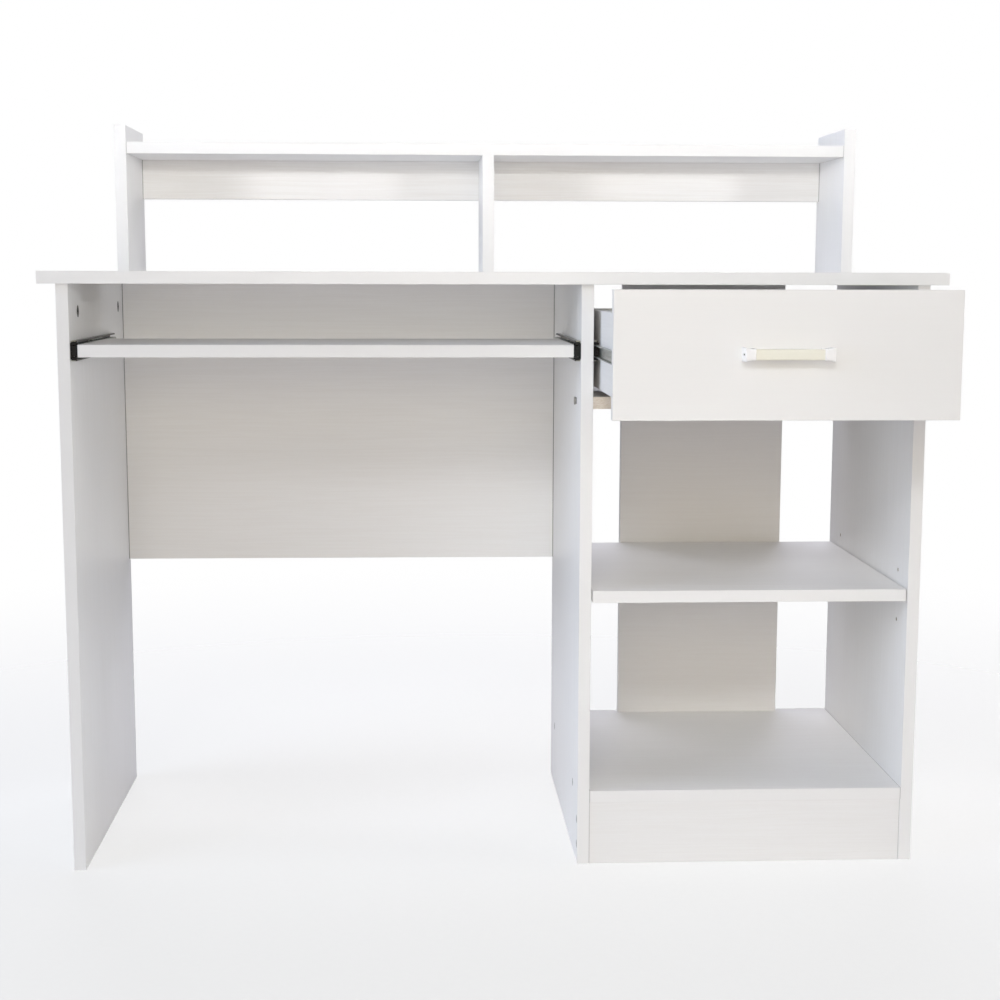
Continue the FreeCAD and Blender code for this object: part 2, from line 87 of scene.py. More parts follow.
# Patterns of the other finishes: width and length of a drawn-out one, size of an even one
rolling_lines = (0.6, 60.0)     # 0.1 wide in life, drawn wider to show
plating_bloom = 14.0
shade_streak_size = (1.5, 25.0)
polish_haze = 0.8               # finer in life, drawn coarser to show
tumbling_scuffs = 0.9
casting_flow = 1.6
mould_grit = 0.5                # 0.1 in life, drawn coarser to show
shrinkage_ripple = 6.0
die_lines_size = (0.7, 90.0)    # 0.2 wide in life, drawn wider to show
press_screen = 1.5
wood_fibre = 4.0
beech_flecks = (0.5, 3.0)
roller_marks = 9.0

# Ball-bearing slides
steel_sheet = 1.0
bend_radius = 1.1
bend_steps = 4
rail_lip = 1.0
runner_gap = 0.3           # room round the runner in its guide
nose_depth = 6.0
nose_chamfer = 2.0
nose_ease = 0.7
ease_steps = 3
plug_start = 1.1
plug_reach = 6.1
screw_hole = 6.2
rail_end_screw = 30.0
runner_front_screw = 30.0
runner_screw_pitch = 96.0
runner_rear_screw = 20.0
punched_hole = 4.6
hole_sides = 32
drill_length = 40.0        # longer than any channel is wide

# Handle
round_steps = 5
strip_round = 1.6
post_wall = 0.55           # post skin round the strip's ends
post_round = 2.0
post_rim = 0.6
post_rings = (0.25, 0.5, 0.75, 1.0)   # shares of the post's width, from its outer end
pocket_gap = 0.1
pin_slot = (3.0, 7.0, 2.2)            # depth, length and height
pin_setback = 10.0

# Floor, in metres from the middle of the desk
floor_full = 0.75
floor_end = 2.4
floor_cover = 0.4          # how much of the paint and its shadows the camera sees over the white of the room

smooth_angle = math.radians(40.0)
hair = 0.01 * MM           # in metres: corners nearer than this are in the same place


def linear(code):
    """Turn an sRGB hex colour into the linear colour that a shader takes."""
    levels = [int(code[i:i + 2], 16) / 255.0 for i in (0, 2, 4)]
    bent = [level / 12.92 if level <= 0.04045 else ((level + 0.055) / 1.055) ** 2.4 for level in levels]
    return (*bent, 1.0)


def feed(tree, node, inputs):
    """Set a node's inputs, or link those for which another node or one of its sockets is given."""
    for key, value in inputs.items():
        if isinstance(value, bpy.types.Node):
            value = value.outputs[0]
        if isinstance(value, bpy.types.NodeSocket):
            tree.links.new(value, node.inputs[key])
        else:
            node.inputs[key].default_value = value
    return node


def add(tree, kind, inputs, **settings):
    """Add a node of a kind to a material, with its settings and links."""
    node = tree.nodes.new("ShaderNode" + kind)
    for key, value in settings.items():
        setattr(node, key, value)
    return feed(tree, node, inputs)


def start_finish(name, sockets):
    """Start a material with the sockets that are the same all over the surface."""
    finish = bpy.data.materials.new(name)
    finish.use_nodes = True
    tree = finish.node_tree
    shader = tree.nodes["Principled BSDF"]
    feed(tree, shader, sockets)
    return finish, tree, shader


# Colour inputs and output of a Mix node, which it holds beside those for numbers and vectors
MIX_A, MIX_B, MIX_OUT = 6, 7, 2


def stretch(run_axis, width, run):
    """Scale of a pattern that is drawn out along one axis, from its width and run in millimetres."""
    scale = [1.0 / (width * MM)] * 3
    scale[run_axis] = 1.0 / (run * MM)
    return scale


def melamine_board(name, sheet_axis, grain_axis, relief, joint, bare_front):
    """Melamine-faced chipboard: white paper pressed hot with a wood-pore plate, so satin with faint
    long streaks; smooth plastic bands on the edges; bare brown chips in holes and grooves."""
    lo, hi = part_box(name)
    board, tree, shader = start_finish("melamine_" + name, {"IOR": 1.5})
    place = add(tree, "TexCoord", {})
    spot = place.outputs["Object"]

    # Face or edge, from the way the surface looks
    facing = add(tree, "SeparateXYZ", {0: place.outputs["Normal"]})
    across_sheet = add(tree, "Math", {0: facing.outputs[sheet_axis]}, operation="ABSOLUTE")
    face = add(tree, "Math", {0: across_sheet, 1: face_limit}, operation="GREATER_THAN")

    # Depth of a spot under the board's own box: bare core where it is more than the paper
    above_low = add(tree, "VectorMath", {0: spot, 1: lo}, operation="SUBTRACT")
    below_high = add(tree, "VectorMath", {0: hi, 1: spot}, operation="SUBTRACT")
    inset = add(tree, "VectorMath", {0: above_low, 1: below_high}, operation="MINIMUM")
    insets = add(tree, "SeparateXYZ", {0: inset}).outputs
    edge_axes = [axis for axis in (X, Y, Z) if axis != sheet_axis]
    from_edge = add(tree, "Math", {0: insets[edge_axes[0]], 1: insets[edge_axes[1]]}, operation="MINIMUM")
    depth = add(tree, "Math", {0: from_edge, 1: insets[sheet_axis]}, operation="MINIMUM")
    core = add(tree, "Math", {0: depth, 1: paper_thickness * MM}, operation="GREATER_THAN")
    chip_codes = ("A48F70", "6B5840")

    # A front edge without a band shows a much paler copy of the chips on the faces that look forward: painted
    # light, paler than the same core in holes and grooves
    if bare_front:
        frontal = add(tree, "Math", {0: facing.outputs[Y], 1: -face_limit}, operation="LESS_THAN")
        core = add(tree, "Math", {0: core, 1: frontal}, operation="MAXIMUM")
        chip_codes = ("FAF3E7", "E8DCC9")

    # Wood grain: long streaks that sway, and short pores along them; each board has its own stretch of it
    shift = [grain_shift[0] * len(name), grain_shift[1] * lo.x / MM, grain_shift[2] * hi.z / MM]
    run = add(tree, "Mapping", {"Vector": spot, "Location": shift,
                                "Scale": stretch(grain_axis, streak_width, streak_length)})
    drift = add(tree, "Mapping", {"Vector": spot, "Location": shift,
                                  "Scale": stretch(grain_axis, sway_width, sway_length)})
    swing = add(tree, "TexNoise", {"Vector": drift, "Scale": 1.0, "Detail": 1.0})
    swing = add(tree, "VectorMath", {0: swing.outputs["Color"], 1: (0.5, 0.5, 0.5)}, operation="SUBTRACT")
    sway = [2.0 * sway_shift / streak_width] * 3
    sway[grain_axis] = 0.0
    swing = add(tree, "VectorMath", {0: swing, 1: sway, 2: run}, operation="MULTIPLY_ADD")
    streak = add(tree, "TexNoise", {"Vector": swing, "Scale": 1.0, "Detail": 2.0, "Roughness": 0.5})
    streak = add(tree, "MapRange", {"Value": streak, "From Min": 0.36, "From Max": 0.64})
    pores = add(tree, "Mapping", {"Vector": spot, "Location": shift,
                                  "Scale": stretch(grain_axis, pore_width, pore_length)})
    pores = add(tree, "TexNoise", {"Vector": pores, "Scale": 1.0, "Detail": 1.0})
    pores = add(tree, "MapRange", {"Value": pores, "From Min": 0.58, "From Max": 0.72})

    # Chips of the core, lying flat in the sheet
    chip_scale = stretch(sheet_axis, chip_size, chip_size / chip_flatness)
    chips = add(tree, "Mapping", {"Vector": spot, "Scale": chip_scale})
    chips = add(tree, "TexVoronoi", {"Vector": chips, "Scale": 1.0})
    chip_tone = add(tree, "SeparateColor", {0: chips.outputs["Color"]})

    # Colour: paper with its streaks, the edge band and its glue line, the core
    tone = add(tree, "Math", {0: streak, 1: relief, 2: 0.0}, operation="MULTIPLY_ADD")
    tone = add(tree, "Math", {0: pores, 1: pore_shade * relief, 2: tone}, operation="MULTIPLY_ADD")
    paper = add(tree, "Mix", {0: tone, MIX_A: linear("F2F2F1"), MIX_B: linear("EDECEA")}, data_type="RGBA")
    near_edge = add(tree, "Math", {0: from_edge, 1: band_line * MM}, operation="LESS_THAN")
    near_edge = add(tree, "Math", {0: near_edge, 1: glue_shade}, operation="MULTIPLY")
    paper = add(tree, "Mix", {0: near_edge, MIX_A: paper.outputs[MIX_OUT], MIX_B: linear("E2E2E0")},
                data_type="RGBA")
    skin = add(tree, "Mix", {0: face, MIX_A: linear("F1F1F0"), MIX_B: paper.outputs[MIX_OUT]},
               data_type="RGBA")
    # Painted shade: a dark grey line along the board's ends, where the joint with an upright lies in shadow
    if joint:
        joint_shade_mix = add(tree, "Math", {0: insets[X], 1: joint_shade_width * MM}, operation="LESS_THAN")
        joint_shade_mix = add(tree, "Math", {0: joint_shade_mix, 1: joint}, operation="MULTIPLY")
        skin = add(tree, "Mix", {0: joint_shade_mix, MIX_A: skin.outputs[MIX_OUT], MIX_B: linear("4C4A46")},
                   data_type="RGBA")
    chip = add(tree, "Mix", {0: chip_tone, MIX_A: linear(chip_codes[0]), MIX_B: linear(chip_codes[1])},
               data_type="RGBA")
    colour = add(tree, "Mix", {0: core, MIX_A: skin.outputs[MIX_OUT], MIX_B: chip.outputs[MIX_OUT]},
                 data_type="RGBA")

    # Sheen and relief
    sheen = add(tree, "MapRange", {"Value": streak, "To Min": 0.36, "To Max": 0.46})
    dull = add(tree, "Math", {0: core, 1: core_roughness}, operation="MULTIPLY")
    sheen = add(tree, "Math", {0: sheen, 1: dull}, operation="MAXIMUM")
    pressed = add(tree, "Math", {0: pores, 1: pore_dent, 2: streak}, operation="MULTIPLY_ADD")
    pressed = add(tree, "Math", {0: pressed, 1: face}, operation="MULTIPLY")
    rough_core = add(tree, "Math", {0: chip_tone, 1: core}, operation="MULTIPLY")
    height = add(tree, "Math", {0: pressed, 1: -relief, 2: rough_core}, operation="MULTIPLY_ADD")
    bump = add(tree, "Bump", {"Height": height, "Strength": 0.5, "Distance": grain_depth * MM})
    feed(tree, shader, {"Base Color": colour.outputs[MIX_OUT], "Roughness": sheen, "Normal": bump})
    return board


# Each board: the axis of its thickness, the axis of its grain, how strongly the grain shows,
# how dark the painted shade is where its ends meet the uprights, bare front edge
boards = {
    "desktop": (Z, X, 0.6, 0.0, False),
    "keyboard_tray": (Z, X, 0.6, 0.0, False),
    "drawer_support_panel": (Z, X, 0.6, 0.0, True),
    "bottom_shelf": (Z, X, 0.6, 0.5, False),
    "adjustable_shelf": (Z, X, 0.6, 0.0, False),
    "hutch_shelf": (Z, X, 0.6, 0.4, False),
    "modesty_panel": (Y, X, 0.55, 0.8, False),
    "pedestal_back_board": (Y, X, 0.4, 0.0, False),
    "hutch_rail": (Y, X, 1.0, 0.6, False),
    "plinth": (Y, X, 0.5, 0.4, False),
    "drawer_front": (Y, X, 0.1, 0.0, False),
    "drawer_back": (Y, X, 0.5, 0.3, False),
    "left_panel": (X, Z, 0.6, 0.0, False),
    "middle_panel": (X, Z, 0.6, 0.0, False),
    "right_panel": (X, Z, 0.6, 0.0, False),
    "hutch_left_side": (X, Z, 0.6, 0.0, False),
    "hutch_right_side": (X, Z, 0.6, 0.0, False),
    "hutch_divider": (X, Z, 0.6, 0.0, False),
    "drawer_side_left": (X, Y, 0.5, 0.0, False),
    "drawer_side_right": (X, Y, 0.5, 0.0, False),
}

# Zinc-plated sheet steel, rolled and clear passivated: grey, with fine lines along the slide and a cool bloom
zinc_sheet, tree, shader = start_finish("zinc_plated_sheet_steel", {"Metallic": 1.0})
spot = add(tree, "TexCoord", {}).outputs["Object"]
lines = add(tree, "Mapping", {"Vector": spot, "Scale": stretch(Y, *rolling_lines)})
lines = add(tree, "TexNoise", {"Vector": lines, "Scale": 1.0, "Detail": 3.0})
bloom = add(tree, "TexNoise", {"Vector": spot, "Scale": 1.0 / (plating_bloom * MM), "Detail": 2.0})
tint = add(tree, "Mix", {0: bloom, MIX_A: linear("858D8B"), MIX_B: linear("9EA19C")}, data_type="RGBA")
sheen = add(tree, "MapRange", {"Value": lines, "From Min": 0.3, "From Max": 0.7,
                               "To Min": 0.24, "To Max": 0.4})
bump = add(tree, "Bump", {"Height": lines, "Strength": 0.3, "Distance": 0.02 * MM})
feed(tree, shader, {"Base Color": tint.outputs[MIX_OUT], "Roughness": sheen, "Normal": bump})

# The same sheet, nearly black with a wet sheen: painted shade for the rail's mouth, the runner's cut front
# end and the handle's pin slot, where shade falls on the real thing
painted_shade_steel, tree, shader = start_finish("sheet_steel_painted_shade", {"Metallic": 1.0})
spot = add(tree, "TexCoord", {}).outputs["Object"]
shade_streaks = add(tree, "Mapping", {"Vector": spot, "Scale": stretch(Y, *shade_streak_size)})
shade_streaks = add(tree, "TexNoise", {"Vector": shade_streaks, "Scale": 1.0, "Detail": 3.0})
tint = add(tree, "Mix", {0: shade_streaks, MIX_A: linear("0A0B0B"), MIX_B: linear("1A1B1B")}, data_type="RGBA")
sheen = add(tree, "MapRange", {"Value": shade_streaks, "To Min": 0.3, "To Max": 0.5})
feed(tree, shader, {"Base Color": tint.outputs[MIX_OUT], "Roughness": sheen})

# Bearing steel, ground and polished: a dark mirror with the faintest haze
ball_steel, tree, shader = start_finish("polished_bearing_steel", {"Metallic": 1.0})
spot = add(tree, "TexCoord", {}).outputs["Object"]
haze = add(tree, "TexNoise", {"Vector": spot, "Scale": 1.0 / (polish_haze * MM), "Detail": 2.0})
tint = add(tree, "Mix", {0: haze, MIX_A: linear("C4C7CA"), MIX_B: linear("D0D2D3")}, data_type="RGBA")
sheen = add(tree, "MapRange", {"Value": haze, "To Min": 0.08, "To Max": 0.16})
feed(tree, shader, {"Base Color": tint.outputs[MIX_OUT], "Roughness": sheen})

# Zinc-plated screw steel, barrel plated: a dull grey with small scuffs from tumbling
screw_steel, tree, shader = start_finish("barrel_plated_screw_steel", {"Metallic": 1.0})
spot = add(tree, "TexCoord", {}).outputs["Object"]
scuffs = add(tree, "TexNoise", {"Vector": spot, "Scale": 1.0 / (tumbling_scuffs * MM), "Detail": 4.0})
tint = add(tree, "Mix", {0: scuffs, MIX_A: linear("82817C"), MIX_B: linear("A5A39C")}, data_type="RGBA")
sheen = add(tree, "MapRange", {"Value": scuffs, "To Min": 0.28, "To Max": 0.5})
bump = add(tree, "Bump", {"Height": scuffs, "Strength": 0.3, "Distance": 0.03 * MM})
feed(tree, shader, {"Base Color": tint.outputs[MIX_OUT], "Roughness": sheen, "Normal": bump})

# Zinc die casting, left as cast: matt grey skin with flow marks
cast_zinc, tree, shader = start_finish("raw_zinc_die_casting", {"Metallic": 1.0})
spot = add(tree, "TexCoord", {}).outputs["Object"]
flow = add(tree, "TexNoise", {"Vector": spot, "Scale": 1.0 / (casting_flow * MM), "Detail": 4.0,
                              "Distortion": 0.8})
tint = add(tree, "Mix", {0: flow, MIX_A: linear("343433"), MIX_B: linear("545452")}, data_type="RGBA")
sheen = add(tree, "MapRange", {"Value": flow, "To Min": 0.42, "To Max": 0.62})
bump = add(tree, "Bump", {"Height": flow, "Strength": 0.4, "Distance": 0.05 * MM})
feed(tree, shader, {"Base Color": tint.outputs[MIX_OUT], "Roughness": sheen, "Normal": bump})

# Black polypropylene from an eroded mould: charcoal with a fine grit that breaks the shine
black_plastic, tree, shader = start_finish("moulded_black_polypropylene",
                                           {"IOR": 1.49, "Specular IOR Level": 0.12})
spot = add(tree, "TexCoord", {}).outputs["Object"]
grit = add(tree, "TexNoise", {"Vector": spot, "Scale": 1.0 / (mould_grit * MM), "Detail": 3.0})
tint = add(tree, "Mix", {0: grit, MIX_A: linear("080909"), MIX_B: linear("121312")}, data_type="RGBA")
sheen = add(tree, "MapRange", {"Value": grit, "To Min": 0.42, "To Max": 0.58})
bump = add(tree, "Bump", {"Height": grit, "Strength": 0.3, "Distance": 0.04 * MM})
feed(tree, shader, {"Base Color": tint.outputs[MIX_OUT], "Roughness": sheen, "Normal": bump})

# White ABS from a polished mould: glossy, with the slow ripple of shrinkage
white_plastic, tree, shader = start_finish("moulded_white_abs", {"IOR": 1.53})
spot = add(tree, "TexCoord", {}).outputs["Object"]
ripple = add(tree, "TexNoise", {"Vector": spot, "Scale": 1.0 / (shrinkage_ripple * MM), "Detail": 1.0})
tint = add(tree, "Mix", {0: ripple, MIX_A: linear("FAFAFA"), MIX_B: linear("FDFDFD")}, data_type="RGBA")
sheen = add(tree, "MapRange", {"Value": ripple, "To Min": 0.12, "To Max": 0.2})
bump = add(tree, "Bump", {"Height": ripple, "Strength": 0.15, "Distance": 0.05 * MM})
feed(tree, shader, {"Base Color": tint.outputs[MIX_OUT], "Roughness": sheen, "Normal": bump})

# Ivory plastic strip, extruded: satin with die lines along its length
ivory_plastic, tree, shader = start_finish("extruded_ivory_plastic", {"IOR": 1.52})
spot = add(tree, "TexCoord", {}).outputs["Object"]
die_lines = add(tree, "Mapping", {"Vector": spot, "Scale": stretch(X, *die_lines_size)})
die_lines = add(tree, "TexNoise", {"Vector": die_lines, "Scale": 1.0, "Detail": 2.0})
tint = add(tree, "Mix", {0: die_lines, MIX_A: linear("EFEDDA"), MIX_B: linear("F4F2E3")}, data_type="RGBA")
sheen = add(tree, "MapRange", {"Value": die_lines, "To Min": 0.24, "To Max": 0.36})
bump = add(tree, "Bump", {"Height": die_lines, "Strength": 0.2, "Distance": 0.03 * MM})
feed(tree, shader, {"Base Color": tint.outputs[MIX_OUT], "Roughness": sheen, "Normal": bump})

# Hardboard: white foil on top, brown below with the print of the press screen
hardboard, tree, shader = start_finish("foiled_hardboard", {"IOR": 1.5})
place = add(tree, "TexCoord", {})
spot = place.outputs["Object"]
facing = add(tree, "SeparateXYZ", {0: place.outputs["Normal"]})
foil = add(tree, "Math", {0: facing.outputs[Z], 1: face_limit}, operation="GREATER_THAN")
screen = add(tree, "TexVoronoi", {"Vector": spot, "Scale": 1.0 / (press_screen * MM)})
fibre = add(tree, "TexNoise", {"Vector": spot, "Scale": 1.0 / (wood_fibre * MM), "Detail": 5.0})
brown = add(tree, "Mix", {0: fibre, MIX_A: linear("7D5B3B"), MIX_B: linear("9C7851")}, data_type="RGBA")
white = add(tree, "Mix", {0: fibre, MIX_A: linear("ECEBE6"), MIX_B: linear("F2F1ED")}, data_type="RGBA")
tint = add(tree, "Mix", {0: foil, MIX_A: brown.outputs[MIX_OUT], MIX_B: white.outputs[MIX_OUT]},
           data_type="RGBA")
sheen = add(tree, "MapRange", {"Value": foil, "To Min": 0.75, "To Max": 0.42})
bump = add(tree, "Bump", {"Height": screen, "Strength": 0.3, "Distance": 0.06 * MM})
feed(tree, shader, {"Base Color": tint.outputs[MIX_OUT], "Roughness": sheen, "Normal": bump})

# Beech, turned to dowels: pinkish tan with short dark flecks along the grain
beech, tree, shader = start_finish("turned_beech", {"IOR": 1.5})
spot = add(tree, "TexCoord", {}).outputs["Object"]
flecks = add(tree, "Mapping", {"Vector": spot, "Scale": stretch(Z, *beech_flecks)})
flecks = add(tree, "TexNoise", {"Vector": flecks, "Scale": 1.0, "Detail": 2.0})
tint = add(tree, "Mix", {0: flecks, MIX_A: linear("D3AC7F"), MIX_B: linear("B88B5C")}, data_type="RGBA")
sheen = add(tree, "MapRange", {"Value": flecks, "To Min": 0.55, "To Max": 0.7})
bump = add(tree, "Bump", {"Height": flecks, "Strength": 0.3, "Distance": 0.05 * MM})
feed(tree, shader, {"Base Color": tint.outputs[MIX_OUT], "Roughness": sheen, "Normal": bump})

# Studio floor, matt white paint with a trace of the roller; far from the desk it fades into the white room
floor_paint, tree, shader = start_finish("matt_floor_paint", {"IOR": 1.45})
spot = add(tree, "TexCoord", {}).outputs["Object"]
roller = add(tree, "TexNoise", {"Vector": spot, "Scale": 1.0 / (roller_marks * MM), "Detail": 3.0})
tint = add(tree, "Mix", {0: roller, MIX_A: linear("F8F8F7"), MIX_B: linear("FBFBFA")}, data_type="RGBA")
sheen = add(tree, "MapRange", {"Value": roller, "To Min": 0.8, "To Max": 0.9})
distance = add(tree, "VectorMath", {0: spot}, operation="LENGTH")
fade = add(tree, "MapRange", {"Value": distance.outputs["Value"], "From Min": floor_full,
                              "From Max": floor_end, "To Min": 1.0, "To Max": 0.0},
           interpolation_type="SMOOTHSTEP")
seen = add(tree, "LightPath", {})
cover = add(tree, "MapRange", {"Value": seen.outputs["Is Camera Ray"], "To Min": 1.0, "To Max": floor_cover})
cover = add(tree, "Math", {0: fade, 1: cover}, operation="MULTIPLY")
feed(tree, shader, {"Base Color": tint.outputs[MIX_OUT], "Roughness": sheen, "Alpha": cover})

# Frame nodes take their finish by the record's slot, and each board a melamine of its own
slot_finishes = {
    "white_hardboard": hardboard,
    "zinc_steel": zinc_sheet,
    "ball_steel": ball_steel,
    "screw_steel": screw_steel,
    "cast_zinc": cast_zinc,
    "black_plastic": black_plastic,
    "white_plastic": white_plastic,
    "ivory_plastic": ivory_plastic,
    "beech": beech,
}
for name, node in nodes.items():
    if name in boards:
        node.material_slots[0].material = melamine_board(name, *boards[name])
    else:
        slot = node.material_slots[0].material.name.split(".")[0]
        node.material_slots[0].material = slot_finishes[slot]


def work_on(piece):
    """Leave only one piece selected and active."""
    bpy.ops.object.select_all(action="DESELECT")
    piece.select_set(True)
    bpy.context.view_layer.objects.active = piece


def block(name, lo, hi):
    """Add a block between two corners, with its place in its mesh."""
    bpy.ops.object.select_all(action="DESELECT")
    bpy.ops.mesh.primitive_cube_add(size=1.0, location=(lo + hi) / 2, scale=hi - lo)
    bpy.ops.object.transform_apply(location=True, rotation=True, scale=True)
    piece = bpy.context.object
    piece.name = name
    return piece


def pick(piece, kind, test):
    """In edit mode, select only the corners, edges or faces that pass a test."""
    bpy.ops.mesh.select_mode(type=kind)
    bpy.ops.mesh.select_all(action="DESELECT")
    shape = bmesh.from_edit_mesh(piece.data)
    items = {"VERT": shape.verts, "EDGE": shape.edges, "FACE": shape.faces}[kind]
    for item in items:
        if test(item):
            item.select_set(True)
    bmesh.update_edit_mesh(piece.data)


def combine(piece, tool, operation):
    """Cut a tool out of a piece or join it on, and throw the tool away."""
    work_on(piece)
    change = piece.modifiers.new("shape", "BOOLEAN")
    change.operation = operation
    change.object = tool
    bpy.ops.object.modifier_apply(modifier=change.name)
    bpy.data.objects.remove(tool)


def drill(piece, middle, diameter):
    """Drill a round hole through a piece from side to side."""
    bpy.ops.object.select_all(action="DESELECT")
    bpy.ops.mesh.primitive_cylinder_add(vertices=hole_sides, radius=diameter / 2 * MM,
                                        depth=drill_length * MM, location=middle,
                                        rotation=(0.0, math.pi / 2, 0.0))
    combine(piece, bpy.context.object, "DIFFERENCE")


def draw_line(name, points):
    """Draw a line from corner to corner by extruding one corner; edit mode stays on."""
    bpy.ops.object.select_all(action="DESELECT")
    bpy.ops.mesh.primitive_plane_add(size=MM, location=(0.0, 0.0, 0.0))
    piece = bpy.context.object
    piece.name = name
    bpy.ops.object.mode_set(mode="EDIT")
    bpy.ops.mesh.select_mode(type="VERT")
    bpy.ops.mesh.select_all(action="SELECT")
    bpy.ops.mesh.merge(type="CENTER")
    bpy.ops.transform.translate(value=points[0])
    for before, after in zip(points, points[1:]):
        bpy.ops.mesh.extrude_region_move(TRANSFORM_OT_translate={"value": after - before})
    return piece


def rolled_channel(name, points, length):
    """Bend sheet steel round a section, given along the middle of the sheet, and run it along the slide."""
    channel = draw_line(name, points)
    ends = (points[0], points[-1])
    pick(channel, "VERT", lambda corner: min((corner.co - end).length for end in ends) > hair)
    bpy.ops.mesh.bevel(affect="VERTICES", offset=bend_radius * MM, segments=bend_steps)
    bpy.ops.mesh.select_all(action="SELECT")
    bpy.ops.mesh.extrude_region_move(TRANSFORM_OT_translate={"value": (0.0, length, 0.0)})
    bpy.ops.mesh.select_all(action="SELECT")
    bpy.ops.mesh.normals_make_consistent(inside=False)
    bpy.ops.object.mode_set(mode="OBJECT")
    wall = channel.modifiers.new("sheet", "SOLIDIFY")
    wall.thickness = steel_sheet * MM
    wall.offset = 0.0
    wall.use_even_offset = True
    bpy.ops.object.modifier_apply(modifier=wall.name)
    return channel


def solid_section(name, points, length):
    """Fill a drawn section and run it along the slide as a solid."""
    solid = draw_line(name, points)
    bpy.ops.mesh.select_all(action="SELECT")
    bpy.ops.mesh.edge_face_add()
    bpy.ops.mesh.extrude_region_move(TRANSFORM_OT_translate={"value": (0.0, length, 0.0)})
    bpy.ops.mesh.select_all(action="SELECT")
    bpy.ops.mesh.normals_make_consistent(inside=False)
    bpy.ops.object.mode_set(mode="OBJECT")
    return solid


def copy_to(piece, name, node, mirrored):
    """Copy a piece with its own mesh to another node's place, turned left to right where asked."""
    work_on(piece)
    bpy.ops.object.duplicate()
    twin = bpy.context.object
    twin.name = name
    if mirrored:
        twin.scale.x = -1.0
        bpy.ops.object.transform_apply(location=False, rotation=False, scale=True)
    corners = [vertex.co for vertex in twin.data.vertices]
    lowest = Vector([min(corner[axis] for corner in corners) for axis in (X, Y, Z)])
    bpy.ops.object.mode_set(mode="EDIT")
    bpy.ops.mesh.select_all(action="SELECT")
    bpy.ops.transform.translate(value=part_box(node)[0] - lowest)
    bpy.ops.mesh.normals_make_consistent(inside=False)
    bpy.ops.object.mode_set(mode="OBJECT")
    return twin


def settle(piece, finish, body, node):
    """Finish a piece: smooth shading, its material, the body it rides on and the node it stands for."""
    work_on(piece)
    bpy.ops.object.shade_smooth_by_angle(angle=smooth_angle)
    piece.data.materials.clear()
    piece.data.materials.append(finish)
    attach(piece, body)
    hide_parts(node)


def line_with(piece, finish, test):
    """Give those faces of a finished piece that pass a test a second finish."""
    work_on(piece)
    piece.data.materials.append(finish)
    piece.active_material_index = len(piece.data.materials) - 1
    bpy.ops.object.mode_set(mode="EDIT")
    pick(piece, "FACE", test)
    bpy.ops.object.material_slot_assign()
    bpy.ops.object.mode_set(mode="OBJECT")


# Slides: section points are given out from the panel and up from the slide's middle line
rail_lo, rail_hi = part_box("tray_rail_left")
runner_lo, runner_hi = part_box("tray_runner_left")
guide_lo, guide_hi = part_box("tray_guide_left")
slide_middle = (rail_lo.z + rail_hi.z) / 2


def section(pairs, front):
    """Turn distances out from the left panel and up from the slide's middle into points of the frame."""
    return [Vector((rail_lo.x + out, front, slide_middle + up)) for out, up in pairs]


half_sheet = steel_sheet * MM / 2
rail_reach = rail_hi.x - rail_lo.x - half_sheet
rail_half = (rail_hi.z - rail_lo.z) / 2 - half_sheet
lip_end = rail_half - half_sheet - rail_lip * MM
rail_line = [(rail_reach, lip_end), (rail_reach, rail_half), (half_sheet, rail_half),
             (half_sheet, -rail_half), (rail_reach, -rail_half), (rail_reach, -lip_end)]

runner_start = runner_lo.x - rail_lo.x
runner_web = runner_hi.x - rail_lo.x - half_sheet
runner_half = (runner_hi.z - runner_lo.z) / 2 - half_sheet
runner_line = [(runner_start, runner_half), (runner_web, runner_half),
               (runner_web, -runner_half), (runner_start, -runner_half)]

# Guide: a nose in front of the rail and a plug inside it, both with a passage for the runner
room = runner_gap * MM
slot_top = runner_half + half_sheet + room
slot_low = runner_half - half_sheet - room
slot_back = runner_start - room
web_front = runner_web - half_sheet - room
guide_half = (guide_hi.z - guide_lo.z) / 2
nose_reach = guide_hi.x - guide_lo.x
chamfer = nose_chamfer * MM


def guide_section(start, reach, chamfer, front):
    """Upper half of a guide's section and its mirror image below."""
    half = [(min(web_front, reach), slot_low), (slot_back, slot_low),
            (slot_back, slot_top), (reach, slot_top)]
    if chamfer:
        half += [(reach, guide_half - chamfer), (reach - chamfer, guide_half),
                 (start + chamfer, guide_half), (start, guide_half - chamfer)]
    else:
        half += [(reach, guide_half), (start, guide_half)]
    return section(half + [(out, -up) for out, up in reversed(half)], front)


def on_nose_rim(edge):
    """Test for the edges round the nose's front, but not those of its passage."""
    heights = [abs(corner.co.z - slide_middle) for corner in edge.verts]
    frontal = all(corner.co.y < guide_lo.y + hair for corner in edge.verts)
    return frontal and min(heights) > slot_top - hair and max(heights) > slot_top + hair


nose_length = nose_depth * MM
guide = solid_section("guide", guide_section(0.0, nose_reach, chamfer, guide_lo.y), nose_length)
work_on(guide)
bpy.ops.object.mode_set(mode="EDIT")
pick(guide, "EDGE", on_nose_rim)
bpy.ops.mesh.bevel(offset=nose_ease * MM, segments=ease_steps, affect="EDGES")
bpy.ops.object.mode_set(mode="OBJECT")
plug_front = guide_lo.y + nose_length
plug = solid_section("plug", guide_section(plug_start * MM, plug_reach * MM, 0.0, plug_front - half_sheet),
                     guide_hi.y - plug_front + half_sheet)
combine(guide, plug, "UNION")


def in_race(node, mirrored):
    """Test for the faces in a rail's mouth that get painted shade: its inside, its lips, and the bends that
    carry the lips.
    """
    lo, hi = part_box(node)
    middle = (lo + hi) / 2
    depth = 1.5 * half_sheet    # in the sheet's thickness, past its outer face and short of its inner one
    bend = rail_reach - bend_radius * MM

    def test(face):
        spot = face.calc_center_median()
        out = hi.x - spot.x if mirrored else spot.x - lo.x
        return out > depth and (out > bend or abs(spot.z - middle.z) < hi.z - middle.z - depth)

    return test


def at_front(node):
    """Test for the cut front end of a runner, which gets painted shade."""
    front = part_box(node)[0].y
    return lambda face: all(corner.co.y < front + hair for corner in face.verts)


